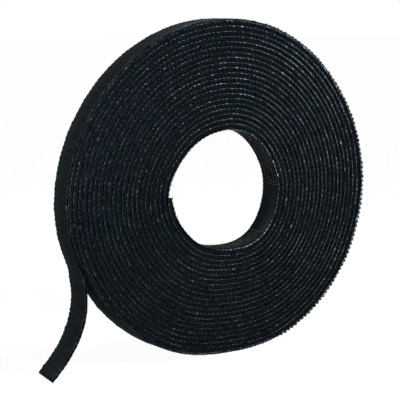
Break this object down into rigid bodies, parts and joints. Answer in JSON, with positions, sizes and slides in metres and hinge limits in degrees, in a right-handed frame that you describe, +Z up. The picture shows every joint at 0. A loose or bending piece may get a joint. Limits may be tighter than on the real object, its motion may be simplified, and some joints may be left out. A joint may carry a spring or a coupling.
{
  "type": "hook and loop tape roll",
  "caption": "Flat spiral roll of back-to-back hook and loop tape, hooks towards the open bore and loops outwards, with a free end that peels away from the roll.",
  "frame": {"origin": "middle of the flat foot under the roll, on the surface that it stands on", "axes": "+Z up, Y along the roll's axis with the front edge of the tape towards -Y, +X to the right, away from the free end"},
  "size_m": [0.1286, 0.01, 0.1189],
  "materials": {
    "hook_web": "black woven nylon with small stiff hooks, slightly shiny",
    "loop_web": "black woven nylon with a soft matte loop pile"
  },
  "bodies": {
    "roll": {"hook_tape_winding": "hook_web", "loop_tape_winding": "loop_web"},
    "free_end": {"hook_tape_free_end": "hook_web", "loop_tape_free_end": "loop_web"}
  },
  "joints": [
    {"name": "free_end_peel", "type": "hinge", "parent": "roll", "child": "free_end", "pos_m": [-0.05735, 0, 0.03735], "axis": [0, 1, 0], "range_deg": [-10, 100]}
  ]
}
